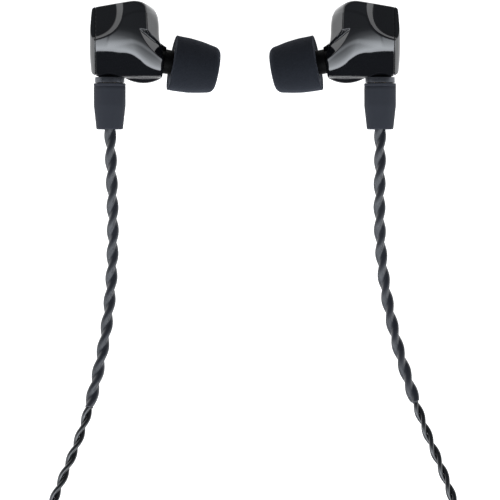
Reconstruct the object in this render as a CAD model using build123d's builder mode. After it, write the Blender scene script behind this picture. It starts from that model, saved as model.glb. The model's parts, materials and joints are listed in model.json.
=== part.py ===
from build123d import *
import math
import os

# A pair of in-ear monitors lying on a flat surface, with their detachable cable.
# Millimetres. Z is up, the surface is z = 0, and X = 0 lies midway between the
# earpieces. The left earpiece is modelled and the right one is its mirror image.

# ---- earpiece housing ----
housing_depth = 14.6        # along Z
housing_top = 14.3          # highest Y
housing_bottom = -4.1       # lowest Y of the housing's own outline
outline_corner = 6.4        # corner radius of the faceplate outline
wall = 1.2
seam_x = -33.6              # plane where the faceplate meets the shell
outer_x = -35.2             # just beyond the faceplate's outer face
inner_x = -18.9             # just beyond the shell's inner face
mid_z = housing_depth / 2

# ---- nozzle and ear tip ----
nozzle_root = Vector(-17.3, 0.7, 6.35)
nozzle_down = 7.0           # degrees below the horizontal
nozzle_turn = 10.0          # degrees towards -Y
nozzle_r = 2.4
nozzle_bore_r = 1.7
nozzle_inner_end = -4.2
nozzle_outer_end = 5.0
flange_r = 2.65
tip_back = 0.85
tip_front = 11.3
tip_back_r = 6.25
tip_front_r = 5.05
tip_round = 1.9
core_r = 3.1
core_front_r = 2.6
core_wall = 0.65
core_step = 5.3
tip_mouth_r = 2.0

# ---- connector, on an axis along Y ----
plug_x = -30.5
plug_z = 6.0
collar_r = 3.0
collar_top = -2.6
collar_bottom = -4.0
socket_r = 2.2
socket_top = 1.2
barrel_r = 3.6
barrel_end_r = 3.0
barrel_top = -4.1
barrel_taper = -9.1
barrel_bottom = -14.5
plug_r = 1.45
plug_top = -0.6
plug_bottom = -8.2
plug_bore_r = 1.05
running_gap = 0.05

# ---- cable ----
leg_d = 2.2
sleeve_d = 2.8
main_d = 2.6
sleeve_runs = 6             # the sleeve ends part of the way along this run
sleeve_share = 0.54

coil_x = 8.0
coil_y = -122.0
coil_r = 15.0               # middle of the turns
turn_gap = 2.7
coil_columns = 3
coil_rows = 3
tie_thickness = 0.5
tie_width = 5.0

split_x = -18.0
split_z = 3.3
split_r = 3.3
split_end_r = 1.9
split_taper = 6.0           # length of its tapered end
split_low = -130.0
split_high = -116.0
slider_low = -152.5
slider_length = 6.0
slider_hole_r = 1.35
leg_spread = 1.7            # each leg's distance from the slider's middle
pair_z = 2.1

jack_x = 35.5
jack_y = -106.2
jack_z = 3.6
jack_r = 1.75
jack_core_r = 1.2
jack_rod_r = 0.7
jack_body_bottom = -111.2
jack_body_width = 8.0
jack_body_top = -101.8
relief_x = 30.9             # where the strain relief meets the body
relief_start_r = 2.5
relief_end_r = 1.75
relief_length = 7.0
relief_ribs = 4
rib_gap = 1.5

# Points of each cable's route, from the earpiece's connector to the splitter.
left_route = [
    (-30.5, -12.0, 6.0),
    (-30.2, -22.0, 5.9),
    (-29.8, -34.0, 4.1),
    (-30.0, -46.0, 2.1),
    (-31.1, -58.5, 1.5),
    (-33.5, -71.0, 1.4),
    (-36.9, -83.0, 1.4),
    (-41.8, -94.5, 1.1),
    (-46.8, -107.0, 1.1),
    (-48.8, -121.0, 1.1),
    (-47.7, -138.0, 1.1),
    (-48.7, -156.0, 1.1),
    (-48.5, -173.0, 1.1),
    (-47.2, -187.5, 1.1),
    (-42.4, -196.2, 1.1),
    (-33.6, -199.4, 1.1),
    (-25.0, -196.8, 1.1),
    (-19.7, -188.5, 2.1),
    (-19.8, -171.5, 2.1),
    (-19.7, -146.0, 2.1),
    (-19.5, -129.0, 3.3),
]
right_route = [
    (30.5, -12.0, 6.0),
    (30.5, -22.0, 5.9),
    (30.3, -34.0, 4.1),
    (31.0, -46.0, 2.1),
    (33.2, -58.5, 1.5),
    (36.6, -70.5, 1.4),
    (40.9, -82.5, 1.4),
    (46.0, -94.5, 1.1),
    (49.9, -107.0, 1.1),
    (50.6, -121.5, 1.1),
    (48.2, -137.0, 1.1),
    (43.5, -152.5, 1.1),
    (36.0, -168.0, 1.1),
    (25.5, -181.0, 1.1),
    (13.0, -190.8, 1.1),
    (1.5, -197.6, 1.1),
    (-7.6, -199.2, 1.1),
    (-13.9, -195.4, 1.1),
    (-16.3, -188.0, 2.1),
    (-16.2, -171.5, 2.1),
    (-16.3, -146.0, 2.1),
    (-16.5, -129.0, 3.3),
]
# The main cable, from the splitter into the coil's lowest turn.
lead_route = [
    (-18.0, -117.0, 3.3),
    (-17.8, -111.0, 2.6),
    (-14.6, -106.0, 1.9),
    (-8.5, -103.6, 1.85),
    (-0.5, -103.7, 1.85),
    (7.0, -104.6, 1.85),
]
# The main cable, from the coil's highest turn to the jack.
tail_route = [
    (9.0, -104.6, 7.25),
    (15.5, -105.0, 6.6),
    (21.0, -105.8, 4.4),
    (26.5, -106.2, 3.6),
]

os.makedirs("parts", exist_ok=True)


def save(solid, name):
    solid.label = name
    export_step(solid, "parts/" + name + ".step")


def save_pair(solid, name):
    save(mirror(solid, about=Plane.YZ), "right_" + name)
    save(solid, "left_" + name)


def arc_radii(route):
    """The largest arc that each corner's two runs allow."""
    points = [Vector(*p) for p in route]
    radii = []
    for before, corner, after in zip(points, points[1:], points[2:]):
        run_in = corner - before
        run_out = after - corner
        turn = math.radians(run_in.get_angle(run_out))
        shorter = min(run_in.length, run_out.length)
        radii.append(0.45 * shorter / math.tan(turn / 2))
    return radii


def report_cord(name, path, solid, area, radii):
    expected = path.length * area
    print(name, "length", round(path.length, 1), "mm, tightest radius", round(min(radii), 1))
    print("   volume", round(solid.volume, 2), "section x length", round(expected, 2))


def plane_across(path):
    return Plane(origin=path @ 0, z_dir=path % 0)


# ======================= housing =======================
# The housing is where three outlines meet: front (XY), side (YZ) and end (XZ).
def housing_blank(inset):
    with BuildPart() as blank:
        with BuildSketch(Plane.XY.offset(-1)) as front:
            with BuildLine():
                ThreePointArc((-34.2, -2.35), (-35.0, 3.4), (-34.6, 12.8))
                Polyline(
                    (-34.6, 12.8),
                    (-28.6, 13.85),
                    (-27.5, housing_top),
                    (-24.1, housing_top),
                    (-21.8, 13.2),
                )
                ThreePointArc((-21.8, 13.2), (-20.1, 11.4), (-19.4, 8.4))
                Polyline((-19.4, 8.4), (-19.1, 4.8), (-19.4, -2.4))
                ThreePointArc((-19.4, -2.4), (-23.2, -3.95), (-27.0, -3.3))
                Polyline((-27.0, -3.3), (-27.4, -2.55), (-34.2, -2.35))
            make_face()
            if inset:
                offset(amount=-inset)
        extrude(amount=housing_depth + 2)
        with BuildSketch(Plane.YZ.offset(outer_x)) as side:
            with Locations(((housing_top + housing_bottom) / 2, mid_z)):
                RectangleRounded(
                    housing_top - housing_bottom - 2 * inset,
                    housing_depth - 2 * inset,
                    outline_corner - inset,
                )
        extrude(amount=inner_x - outer_x, mode=Mode.INTERSECT)
        with BuildSketch(Plane.XZ.offset(-housing_top)) as end:
            with BuildLine():
                Polyline(
                    (outer_x, inset + 1.0),
                    (seam_x + 1, inset),
                    (-26.5, inset),
                    (inner_x, inset + 3.0),
                    (inner_x, housing_depth - inset - 3.4),
                    (-26.5, housing_depth - inset),
                    (seam_x + 1, housing_depth - inset),
                    (outer_x, housing_depth - inset - 1.0),
                    close=True,
                )
            make_face()
        extrude(amount=housing_top - housing_bottom + 1, mode=Mode.INTERSECT)
    return blank.part


def nozzle_plane(along):
    turn = math.radians(nozzle_turn)
    down = math.radians(nozzle_down)
    heading = Vector(
        math.cos(turn) * math.cos(down),
        -math.sin(turn) * math.cos(down),
        -math.sin(down),
    )
    return Plane(origin=nozzle_root + heading * along, x_dir=(0, 0, 1), z_dir=heading)


outer_blank = housing_blank(0)
inner_blank = housing_blank(wall)

with BuildPart() as shell:
    add(outer_blank)
    split(bisect_by=Plane.YZ.offset(seam_x), keep=Keep.TOP)
    with BuildSketch(nozzle_plane(-3.4)):
        Circle(4.3)
    with BuildSketch(nozzle_plane(-0.6)):
        Circle(2.95)
    loft()
    with BuildSketch(Plane.XZ.offset(-collar_top)):
        with Locations((plug_x, plug_z)):
            Circle(2.95)
    extrude(amount=-4)
    add(inner_blank, mode=Mode.SUBTRACT)
    with BuildSketch(Plane.XZ.offset(-collar_bottom)):
        with Locations((plug_x, plug_z)):
            Circle(socket_r)
    extrude(amount=collar_bottom - socket_top, mode=Mode.SUBTRACT)
    with BuildSketch(nozzle_plane(nozzle_inner_end)):
        Circle(nozzle_r)
    extrude(amount=nozzle_outer_end - nozzle_inner_end, mode=Mode.SUBTRACT)
save_pair(shell.part, "shell")

with BuildPart() as faceplate:
    add(outer_blank)
    split(bisect_by=Plane.YZ.offset(seam_x), keep=Keep.BOTTOM)
save_pair(faceplate.part, "faceplate")

# ======================= nozzle and ear tip =======================
with BuildPart() as nozzle:
    with BuildSketch(nozzle_plane(nozzle_inner_end)):
        Circle(nozzle_r)
        Circle(nozzle_bore_r, mode=Mode.SUBTRACT)
    extrude(amount=nozzle_outer_end - nozzle_inner_end)
    with BuildSketch(nozzle_plane(-0.6)):
        Circle(flange_r)
        Circle(nozzle_bore_r, mode=Mode.SUBTRACT)
    extrude(amount=1.4)
save_pair(nozzle.part, "nozzle")

with BuildPart() as nozzle_mesh:
    with BuildSketch(nozzle_plane(nozzle_outer_end - 0.45)):
        Circle(nozzle_bore_r)
    extrude(amount=0.25)
save_pair(nozzle_mesh.part, "nozzle_mesh")

with BuildPart() as tip_core:
    with BuildSketch(nozzle_plane(tip_back + 0.1)):
        Circle(core_r)
        Circle(nozzle_r + running_gap, mode=Mode.SUBTRACT)
    extrude(amount=core_step - tip_back - 0.1)
    with BuildSketch(nozzle_plane(core_step)):
        Circle(core_front_r)
        Circle(core_front_r - core_wall, mode=Mode.SUBTRACT)
    extrude(amount=tip_front - 1.0 - core_step)
save_pair(tip_core.part, "tip_core")

tip_plane = nozzle_plane(0)
tip_section = Plane(origin=tip_plane.origin, x_dir=tip_plane.z_dir, z_dir=tip_plane.y_dir)
with BuildPart() as foam_tip:
    with BuildSketch(tip_section) as tip_profile:
        with BuildLine():
            Polyline(
                (tip_back, core_r),
                (tip_back, tip_back_r),
                (tip_front, tip_front_r),
                (tip_front, tip_mouth_r),
                (tip_front - 1.0, tip_mouth_r),
                (tip_front - 1.0, core_front_r),
                (core_step, core_front_r),
                (core_step, core_r),
                close=True,
            )
        make_face()
    revolve(axis=Axis(tip_plane.origin, tip_plane.z_dir))
    circles = foam_tip.edges().filter_by(GeomType.CIRCLE)
    front_edge = circles.filter_by(lambda e: abs(e.radius - tip_front_r) < 0.01)
    fillet(front_edge, tip_round)
save_pair(foam_tip.part, "foam_tip")

# ======================= connector =======================
# A ring or disc round the connector's axis, from Y = low to Y = high.
def connector_ring(low, high, outer_r, hole_r=0.0):
    with BuildPart() as ring:
        with BuildSketch(Plane.XZ.offset(-low)):
            with Locations((plug_x, plug_z)):
                Circle(outer_r)
                if hole_r:
                    Circle(hole_r, mode=Mode.SUBTRACT)
        extrude(amount=low - high)
    return ring.part


save_pair(connector_ring(collar_bottom, collar_top, collar_r, socket_r), "collar")

with BuildPart() as socket:
    add(connector_ring(collar_bottom, socket_top, socket_r, 0.9))
    add(connector_ring(collar_bottom, 0.0, plug_r + running_gap), mode=Mode.SUBTRACT)
save_pair(socket.part, "socket")

save_pair(connector_ring(-2.8, 2.0, 0.9, 0.45), "socket_contact")

ring_low = -2.6
ring_high = -2.0
ring_inner_r = 1.22
with BuildPart() as plug_core:
    add(connector_ring(plug_bottom, plug_top, plug_r, plug_bore_r))
    add(connector_ring(ring_low, ring_high, plug_r, ring_inner_r - running_gap), mode=Mode.SUBTRACT)
save_pair(plug_core.part, "plug_core")

save_pair(connector_ring(ring_low + 0.03, ring_high - 0.03, plug_r, ring_inner_r), "snap_ring")
save_pair(connector_ring(plug_bottom, -3.8, plug_bore_r, 0.4), "plug_insulator")
save_pair(connector_ring(plug_bottom, -1.0, 0.4), "plug_pin")

with BuildPart() as connector_barrel:
    add(connector_ring(barrel_taper, barrel_top, barrel_r))
    chamfer(connector_barrel.edges().group_by(Axis.Y)[-1], 0.35)
    with BuildSketch(Plane.XZ.offset(-barrel_taper)):
        with Locations((plug_x, plug_z)):
            Circle(barrel_r)
    with BuildSketch(Plane.XZ.offset(-barrel_bottom)):
        with Locations((plug_x, plug_z)):
            Circle(barrel_end_r)
    loft()
    fillet(connector_barrel.edges().group_by(Axis.Y)[0], 0.4)
    add(connector_ring(plug_bottom, barrel_top, plug_r), mode=Mode.SUBTRACT)
    add(connector_ring(barrel_bottom, plug_bottom, sleeve_d / 2), mode=Mode.SUBTRACT)
save_pair(connector_barrel.part, "connector_barrel")

# ======================= inside the housing =======================
driver_y = 7.2


# A disc or ring of the dynamic driver, from X = low to X = high.
def driver_ring(low, high, outer_r, hole_r=0.0):
    with BuildPart() as ring:
        with BuildSketch(Plane.YZ.offset(low)):
            with Locations((driver_y, mid_z)):
                Circle(outer_r)
                if hole_r:
                    Circle(hole_r, mode=Mode.SUBTRACT)
        extrude(amount=high - low)
    return ring.part


save_pair(driver_ring(-31.4, -29.8, 3.4), "driver_magnet")

with BuildPart() as driver_frame:
    add(driver_ring(-29.8, -27.2, 4.9))
    add(driver_ring(-29.2, -27.2, 4.5), mode=Mode.SUBTRACT)
    with BuildSketch(Plane.YZ.offset(-29.8)):
        with Locations((driver_y, mid_z)):
            with PolarLocations(4.1, 6):
                Circle(0.3)
    extrude(amount=0.6, mode=Mode.SUBTRACT)
save_pair(driver_frame.part, "driver_frame")

with BuildPart() as driver_diaphragm:
    add(driver_ring(-27.8, -27.6, 4.5))
    with BuildSketch(Plane.YZ.offset(-27.6)):
        with Locations((driver_y, mid_z)):
            Circle(2.4)
    with BuildSketch(Plane.YZ.offset(-27.0)):
        with Locations((driver_y, mid_z)):
            Circle(1.3)
    loft()
save_pair(driver_diaphragm.part, "driver_diaphragm")

with BuildPart() as armature_driver:
    with BuildSketch(Plane.XY.offset(5.4)):
        with Locations((-23.6, 8.4)):
            Rectangle(3.0, 4.6)
    extrude(amount=3.8)
    fillet(armature_driver.edges().filter_by(Axis.Z), 0.3)
save_pair(armature_driver.part, "armature_driver")

tube_route = [
    (-24.2, 6.0, 7.3),
    (-24.3, 4.0, 7.35),
    (-22.9, 1.95, 7.1),
    (-19.9, 1.2, 6.7),
]
tube_radii = arc_radii(tube_route)
with BuildPart() as sound_tube:
    with BuildLine() as tube_path:
        FilletPolyline(*tube_route, radius=tube_radii)
    with BuildSketch(plane_across(tube_path.line)):
        Circle(0.8)
        Circle(0.5, mode=Mode.SUBTRACT)
    sweep()
save_pair(sound_tube.part, "sound_tube")

with BuildPart() as crossover_board:
    with BuildSketch(Plane.YZ.offset(-33.0)):
        with Locations((7.0, mid_z)):
            RectangleRounded(8.0, 7.0, 0.8)
    extrude(amount=0.6)
    with BuildSketch(Plane.YZ.offset(-32.4)):
        with Locations((4.2, 5.4), (4.2, 9.2), (10.0, 5.4), (10.0, 9.2)):
            Rectangle(1.2, 0.7)
    extrude(amount=0.5)
save_pair(crossover_board.part, "crossover_board")

with BuildPart() as inner_wires:
    for wire_z in (5.5, 6.5):
        with BuildLine(Plane.XY.offset(wire_z)) as wire_path:
            FilletPolyline((-30.9, 2.0), (-31.3, 3.0), (-32.4, 3.3), radius=[0.5])
        with BuildSketch(plane_across(wire_path.line)):
            Circle(0.15)
        sweep(path=wire_path.line)
save_pair(inner_wires.part, "inner_wires")

# ======================= cable =======================
def cord_tube(name, route, diameter):
    radii = arc_radii(route)
    with BuildPart() as tube:
        with BuildLine() as path:
            FilletPolyline(*route, radius=radii)
        with BuildSketch(plane_across(path.line)):
            Circle(diameter / 2)
        sweep()
    report_cord(name, path.wire(), tube.part, math.pi * diameter**2 / 4, radii)
    save(tube.part, name)


def ear_sleeve(name, route):
    """A close tube over the first runs of a leg, on the leg's own line."""
    radii = arc_radii(route)[: sleeve_runs - 1]
    start = Vector(*route[sleeve_runs - 1])
    end = Vector(*route[sleeve_runs])
    points = route[:sleeve_runs] + [start + (end - start) * sleeve_share]
    with BuildPart() as sleeve:
        with BuildLine() as path:
            FilletPolyline(*points, radius=radii)
        with BuildSketch(plane_across(path.line)):
            Circle(sleeve_d / 2)
            Circle(leg_d / 2, mode=Mode.SUBTRACT)
        sweep()
    report_cord(name, path.wire(), sleeve.part, math.pi * (sleeve_d**2 - leg_d**2) / 4, radii)
    save(sleeve.part, name)


cord_tube("left_leg_cable", left_route, leg_d)
cord_tube("right_leg_cable", right_route, leg_d)
ear_sleeve("left_ear_sleeve", left_route)
ear_sleeve("right_ear_sleeve", right_route)
cord_tube("main_cable_lead", lead_route, main_d)
cord_tube("main_cable_tail", tail_route, main_d)

# The coil is one closed ring of its turns' outer shape, lifted by the tie under it.
coil_half_width = (coil_columns - 1) / 2 * turn_gap + main_d / 2
coil_height = (coil_rows - 1) * turn_gap + main_d
with BuildPart() as main_cable_coil:
    with BuildSketch(Plane.XY.offset(tie_thickness)):
        with Locations((coil_x, coil_y)):
            Circle(coil_r + coil_half_width)
            Circle(coil_r - coil_half_width, mode=Mode.SUBTRACT)
    extrude(amount=coil_height)
    fillet(main_cable_coil.edges(), main_d / 2 - 0.2)
save(main_cable_coil.part, "main_cable_coil")

with BuildPart() as cable_tie:
    tie_middle = coil_y - coil_r
    with BuildSketch(Plane.YZ.offset(coil_x - tie_width / 2)):
        with Locations((tie_middle, tie_thickness + coil_height / 2)):
            RectangleRounded(
                2 * (coil_half_width + tie_thickness + 0.35),
                coil_height + 2 * tie_thickness,
                1.4,
            )
            RectangleRounded(2 * (coil_half_width + 0.35), coil_height, 1.0, mode=Mode.SUBTRACT)
    extrude(amount=tie_width)
save(cable_tie.part, "cable_tie")

# ======================= splitter and slider =======================
with BuildPart() as y_split:
    with BuildSketch(Plane.XZ.offset(-split_low)):
        with Locations((split_x, split_z)):
            Circle(split_r)
    extrude(amount=split_low - split_high + split_taper)
    with BuildSketch(Plane.XZ.offset(split_taper - split_high)):
        with Locations((split_x, split_z)):
            Circle(split_r)
    with BuildSketch(Plane.XZ.offset(-split_high)):
        with Locations((split_x, split_z)):
            Circle(split_end_r)
    loft()
    fillet(y_split.edges().group_by(Axis.Y)[0], 0.6)
save(y_split.part, "y_split")

with BuildPart() as chin_slider:
    with BuildSketch(Plane.XZ.offset(-slider_low)):
        with Locations((split_x, pair_z + 0.1)):
            RectangleRounded(8.4, 4.4, 1.6)
        with Locations((split_x - leg_spread, pair_z), (split_x + leg_spread, pair_z)):
            Circle(slider_hole_r, mode=Mode.SUBTRACT)
    extrude(amount=-slider_length)
save(chin_slider.part, "chin_slider")

# ======================= right-angle 3.5 mm jack =======================
with BuildPart() as jack_body:
    with BuildSketch(Plane.XZ.offset(-jack_body_bottom)):
        with Locations((jack_x, jack_z)):
            RectangleRounded(jack_body_width, 2 * jack_z, 2.2)
    extrude(amount=jack_body_bottom - jack_body_top)
    fillet(jack_body.edges().group_by(Axis.Y)[-1], 1.0)
    with BuildSketch(Plane.YZ.offset(relief_x)):
        with Locations((jack_y, jack_z)):
            Circle(2.9)
    extrude(amount=3)
save(jack_body.part, "jack_body")

with BuildPart() as jack_strain_relief:
    with BuildSketch(Plane.YZ.offset(relief_x)):
        with Locations((jack_y, jack_z)):
            Circle(relief_start_r)
    with BuildSketch(Plane.YZ.offset(relief_x - relief_length)):
        with Locations((jack_y, jack_z)):
            Circle(relief_end_r)
    loft()
    for rib in range(relief_ribs):
        groove_x = relief_x - 1.2 - rib * rib_gap
        with BuildSketch(Plane.YZ.offset(groove_x)):
            with Locations((jack_y, jack_z)):
                Circle(2.9)
                Circle(1.6, mode=Mode.SUBTRACT)
        extrude(amount=-0.6, mode=Mode.SUBTRACT)
save(jack_strain_relief.part, "jack_strain_relief")


# A ring or disc round the jack's axis, from Y = high down to Y = low.
def jack_ring(high, low, outer_r, hole_r=0.0):
    with BuildPart() as ring:
        with BuildSketch(Plane.XZ.offset(-high)):
            with Locations((jack_x, jack_z)):
                Circle(outer_r)
                if hole_r:
                    Circle(hole_r, mode=Mode.SUBTRACT)
        extrude(amount=high - low)
    return ring.part


contact_top = jack_body_bottom
sleeve_length = 6.0
band_length = 0.6
ring_length = 2.4
tip_length = 4.4
first_band = contact_top - sleeve_length
ring_start = first_band - band_length
second_band = ring_start - ring_length
tip_start = second_band - band_length

save(jack_ring(contact_top, first_band, jack_r, jack_core_r), "jack_sleeve_contact")
save(jack_ring(ring_start, second_band, jack_r, jack_core_r), "jack_ring_contact")

with BuildPart() as jack_insulators:
    add(jack_ring(contact_top, first_band, jack_core_r, jack_rod_r))
    add(jack_ring(first_band, ring_start, jack_r, jack_rod_r))
    add(jack_ring(ring_start, second_band, jack_core_r, jack_rod_r))
    add(jack_ring(second_band, tip_start, jack_r, jack_rod_r))
save(jack_insulators.part, "jack_insulators")

with BuildPart() as jack_tip_contact:
    add(jack_ring(contact_top, tip_start, jack_rod_r))
    with BuildSketch(Plane.XY.offset(jack_z)):
        with BuildLine():
            Polyline(
                (jack_x, tip_start),
                (jack_x + 1.6, tip_start),
                (jack_x + jack_r, tip_start - 0.7),
                (jack_x + 1.25, tip_start - 1.9),
                (jack_x + 1.6, tip_start - 2.7),
                (jack_x + 0.5, tip_start - tip_length),
                (jack_x, tip_start - tip_length),
                close=True,
            )
        make_face()
    revolve(axis=Axis((jack_x, tip_start, jack_z), (0, 1, 0)))
save(jack_tip_contact.part, "jack_tip_contact")
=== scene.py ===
import json
import math

import bpy
import numpy as np
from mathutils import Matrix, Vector


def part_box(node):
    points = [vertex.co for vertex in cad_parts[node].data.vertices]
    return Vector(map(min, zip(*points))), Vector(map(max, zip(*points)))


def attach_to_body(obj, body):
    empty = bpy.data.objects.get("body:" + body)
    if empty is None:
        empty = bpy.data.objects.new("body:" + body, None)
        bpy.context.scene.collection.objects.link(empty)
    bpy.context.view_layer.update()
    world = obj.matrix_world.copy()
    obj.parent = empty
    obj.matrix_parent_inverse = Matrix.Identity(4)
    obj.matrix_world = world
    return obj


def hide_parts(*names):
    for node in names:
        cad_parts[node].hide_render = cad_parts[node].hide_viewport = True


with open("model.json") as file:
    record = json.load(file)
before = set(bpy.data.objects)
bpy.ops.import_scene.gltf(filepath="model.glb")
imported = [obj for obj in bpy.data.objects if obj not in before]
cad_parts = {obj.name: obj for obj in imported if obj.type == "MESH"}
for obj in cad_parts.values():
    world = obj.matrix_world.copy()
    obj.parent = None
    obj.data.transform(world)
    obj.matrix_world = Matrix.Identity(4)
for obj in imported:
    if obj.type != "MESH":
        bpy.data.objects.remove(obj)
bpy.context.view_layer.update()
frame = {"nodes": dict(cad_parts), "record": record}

# Sizes in this script are millimetres until a mesh is made, when MM brings them to metres.
MM = 0.001
LEFT, RIGHT = "left", "right"
SIDES = (LEFT, RIGHT)

# =====================================================================
# Camera: straight above the surface, far off, so that nothing is foreshortened
# =====================================================================
VIEW_WIDTH = 112.8          # across the picture, at the height of the ear tips
VIEW_X, VIEW_Y, VIEW_Z = 1.15, -41.7, 6.0
CAMERA_HEIGHT = 1200.0
SENSOR_WIDTH = 36.0

cam_data = bpy.data.cameras.new("camera")
cam_data.sensor_width = SENSOR_WIDTH
cam_data.lens = SENSOR_WIDTH * CAMERA_HEIGHT / VIEW_WIDTH
cam = bpy.data.objects.new("camera", cam_data)
cam.location = Vector((VIEW_X, VIEW_Y, VIEW_Z + CAMERA_HEIGHT)) * MM
cam_data.clip_start, cam_data.clip_end = 0.05, 20       # metres
bpy.context.scene.collection.objects.link(cam)
bpy.context.scene.camera = cam


# =====================================================================
# Mesh helpers
# =====================================================================
def new_object(name, verts, faces, materials=(), smooth=True):
    """A mesh object from points in millimetres."""
    mesh = bpy.data.meshes.new(name)
    mesh.from_pydata((np.asarray(verts, float) * MM).tolist(), [], faces)
    mesh.validate()
    for material in materials:
        mesh.materials.append(material)
    mesh.polygons.foreach_set("use_smooth", [smooth] * len(mesh.polygons))
    mesh.update()
    obj = bpy.data.objects.new(name, mesh)
    bpy.context.scene.collection.objects.link(obj)
    return obj


def grid_faces(rings, around, closed_ends=False, start=0):
    """Quads between successive rings of points, and an n-gon over each end."""
    i, j = np.meshgrid(np.arange(rings - 1), np.arange(around), indexing="ij")
    k = (j + 1) % around
    quads = np.stack([i * around + j, i * around + k, (i + 1) * around + k, (i + 1) * around + j], -1)
    faces = (quads.reshape(-1, 4) + start).tolist()
    if closed_ends:
        faces.append([start + a for a in range(around)][::-1])
        faces.append([start + (rings - 1) * around + a for a in range(around)])
    return faces


def axis_frame(axis):
    """Two unit vectors across an axis."""
    axis = np.asarray(axis, float) / np.linalg.norm(axis)
    helper = np.array([0, 0, 1.0]) if abs(axis[2]) < 0.9 else np.array([1.0, 0, 0])
    u = np.cross(helper, axis)
    u /= np.linalg.norm(u)
    return u, np.cross(axis, u)


def lathe(profile, origin, axis, around=96, wobble=None):
    """Points of a profile of (along, radius) pairs turned about an axis."""
    axis = np.asarray(axis, float) / np.linalg.norm(axis)
    u, v = axis_frame(axis)
    t = np.linspace(0, 2 * math.pi, around, endpoint=False)
    ring = np.cos(t)[:, None] * u + np.sin(t)[:, None] * v
    points = []
    for along, radius in profile:
        r = radius if wobble is None else radius + wobble(along, t)
        points.append(np.asarray(origin) + axis * along + ring * (np.ones(around) * r)[:, None])
    return np.concatenate(points), grid_faces(len(profile), around)


def rounded(profile, radii, steps=6):
    """A profile with its corners rounded by the radii given, by index."""
    out = []
    for n, p in enumerate(profile):
        r = radii.get(n, 0)
        if not r:
            out.append(p)
            continue
        p = np.array(p, float)
        a, b = np.array(profile[n - 1], float), np.array(profile[n + 1], float)
        da, db = (a - p) / np.linalg.norm(a - p), (b - p) / np.linalg.norm(b - p)
        half = math.acos(max(-1, min(1, da @ db))) / 2
        cut = r / math.tan(half)
        middle = (da + db) / np.linalg.norm(da + db)
        centre = p + middle * r / math.sin(half)
        start, end = p + da * cut - centre, p + db * cut - centre
        for s in np.linspace(0, 1, steps + 1):
            w = start * (1 - s) + end * s
            out.append(tuple(centre + w / np.linalg.norm(w) * r))
    return out


def mirrored(verts, faces):
    """The shape mirrored across the middle, its faces still outwards."""
    verts = np.array(verts, float)
    verts[:, 0] *= -1
    return verts, [list(f)[::-1] for f in faces]


def attach(obj, body, slot, *replaces):
    """Ties a piece to its body in place of CAD nodes, which it hides. Its slot is not used."""
    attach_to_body(obj, body)
    if replaces:
        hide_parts(*replaces)
    return obj


def put(name, side, verts, faces, slot, body, *replaces):
    """Makes the piece for one side. The shapes given are the left one's."""
    if side == RIGHT:
        verts, faces = mirrored(verts, faces)
    return attach(new_object(name, verts, faces, [MATS[slot]]), body, slot, *replaces)


# =====================================================================
# Materials
# =====================================================================
def material(name, color, roughness=0.4, metallic=0.0, sheen=0.0, specular=0.5, ior=1.5):
    """A material and its node tree's nodes, links and shader."""
    mat = bpy.data.materials.new(name)
    mat.use_nodes = True
    nodes, links = mat.node_tree.nodes, mat.node_tree.links
    shader = nodes["Principled BSDF"]
    shader.inputs["Base Color"].default_value = (*color, 1)
    shader.inputs["Roughness"].default_value = roughness
    shader.inputs["Metallic"].default_value = metallic
    shader.inputs["Sheen Weight"].default_value = sheen
    shader.inputs["Specular IOR Level"].default_value = specular
    shader.inputs["IOR"].default_value = ior
    return mat, nodes, links, shader


def texture(nodes, links, kind, scale, **values):
    """A procedural texture in object space; scale is per metre."""
    coordinate = nodes.new("ShaderNodeTexCoord")
    node = nodes.new(kind)
    node.inputs["Scale"].default_value = scale
    for key, value in values.items():
        node.inputs[key].default_value = value
    links.new(coordinate.outputs["Object"], node.inputs["Vector"])
    return node


def ramp(nodes, links, source, low, high, from_min=0.0, from_max=1.0):
    """Maps a texture's value to a range."""
    node = nodes.new("ShaderNodeMapRange")
    node.inputs["From Min"].default_value = from_min
    node.inputs["From Max"].default_value = from_max
    node.inputs["To Min"].default_value = low
    node.inputs["To Max"].default_value = high
    links.new(source, node.inputs["Value"])
    return node.outputs["Result"]


def colour_mix(nodes, links, factor, a, b):
    """A colour between two, by a texture's value."""
    node = nodes.new("ShaderNodeMix")
    node.data_type = "RGBA"
    node.inputs["A"].default_value = (*a, 1)
    node.inputs["B"].default_value = (*b, 1)
    links.new(factor, node.inputs["Factor"])
    return node.outputs["Result"]


def bump(nodes, links, shader, height, distance, strength=1.0, before=None):
    """Raises the surface by a texture's value, on top of the bump before it."""
    node = nodes.new("ShaderNodeBump")
    node.inputs["Distance"].default_value = distance
    node.inputs["Strength"].default_value = strength
    links.new(height, node.inputs["Height"])
    if before is not None:
        links.new(before.outputs["Normal"], node.inputs["Normal"])
    links.new(node.outputs["Normal"], shader.inputs["Normal"])
    return node


def gloss_shell_material():
    """Piano-black lacquer: a clean mirror with a trace of orange peel and fine swirl marks."""
    mat, nodes, links, shader = material("gloss_shell", (0.0045, 0.0048, 0.0058), 0.05, specular=0.62)
    swirl = texture(nodes, links, "ShaderNodeTexNoise", 900, Detail=5.0, Roughness=0.6)
    links.new(ramp(nodes, links, swirl.outputs["Fac"], 0.028, 0.075, 0.3, 0.7), shader.inputs["Roughness"])
    peel = texture(nodes, links, "ShaderNodeTexNoise", 420, Detail=2.0)
    bump(nodes, links, shader, peel.outputs["Fac"], 0.000004)
    return mat


def barrel_material():
    """Soft-touch grey lacquer with a very fine grain."""
    mat, nodes, links, shader = material("soft_barrel", (0.029, 0.031, 0.0375), 0.5, ior=1.07)
    grain = texture(nodes, links, "ShaderNodeTexNoise", 9000, Detail=3.0, Roughness=0.6)
    bump(nodes, links, shader, grain.outputs["Fac"], 0.000012, 0.6)
    wear = texture(nodes, links, "ShaderNodeTexNoise", 260, Detail=4.0)
    links.new(ramp(nodes, links, wear.outputs["Fac"], 0.40, 0.52, 0.3, 0.7), shader.inputs["Roughness"])
    return mat


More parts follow.
